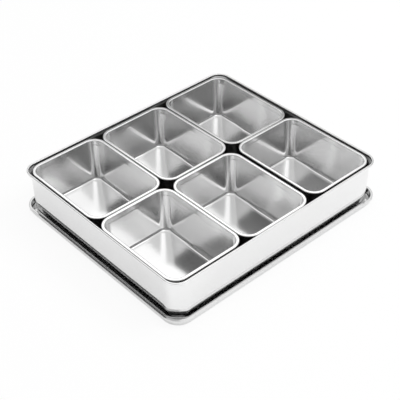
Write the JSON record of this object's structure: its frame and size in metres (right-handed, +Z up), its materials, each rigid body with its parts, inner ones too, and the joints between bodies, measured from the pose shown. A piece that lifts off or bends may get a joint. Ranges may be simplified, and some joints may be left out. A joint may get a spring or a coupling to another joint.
{
  "type": "bar garnish tray",
  "caption": "Low rectangular stainless tray holding lift-out open pans for bar garnishes, with its lid turned over under its foot.",
  "frame": {"origin": "middle of the lid's flat underside, which stands on the table", "axes": "+Z up; +X along the side with three pans; +Y along the side with two pans, from front to back"},
  "size_m": [0.2706, 0.2358, 0.0498],
  "materials": {
    "lid_steel": "polished, fine straight grain",
    "tray_steel": "polished, fine straight grain",
    "pan_steel": "satin inside, polished rim"
  },
  "bodies": {
    "lid": {"lid": "lid_steel"},
    "outer_tray": {"outer_tray": "tray_steel"},
    "pan_front_left": {"pan_front_left": "pan_steel"},
    "pan_back_left": {"pan_back_left": "pan_steel"},
    "pan_front_middle": {"pan_front_middle": "pan_steel"},
    "pan_back_middle": {"pan_back_middle": "pan_steel"},
    "pan_front_right": {"pan_front_right": "pan_steel"},
    "pan_back_right": {"pan_back_right": "pan_steel"}
  },
  "joints": [
    {"name": "outer_tray_lift", "type": "slide", "parent": "lid", "child": "outer_tray", "axis": [0, 0, 1], "range_m": [0, 0.03]},
    {"name": "pan_front_left_lift", "type": "slide", "parent": "outer_tray", "child": "pan_front_left", "axis": [0, 0, 1], "range_m": [0, 0.06]},
    {"name": "pan_back_left_lift", "type": "slide", "parent": "outer_tray", "child": "pan_back_left", "axis": [0, 0, 1], "range_m": [0, 0.06]},
    {"name": "pan_front_middle_lift", "type": "slide", "parent": "outer_tray", "child": "pan_front_middle", "axis": [0, 0, 1], "range_m": [0, 0.06]},
    {"name": "pan_back_middle_lift", "type": "slide", "parent": "outer_tray", "child": "pan_back_middle", "axis": [0, 0, 1], "range_m": [0, 0.06]},
    {"name": "pan_front_right_lift", "type": "slide", "parent": "outer_tray", "child": "pan_front_right", "axis": [0, 0, 1], "range_m": [0, 0.06]},
    {"name": "pan_back_right_lift", "type": "slide", "parent": "outer_tray", "child": "pan_back_right", "axis": [0, 0, 1], "range_m": [0, 0.06]}
  ]
}
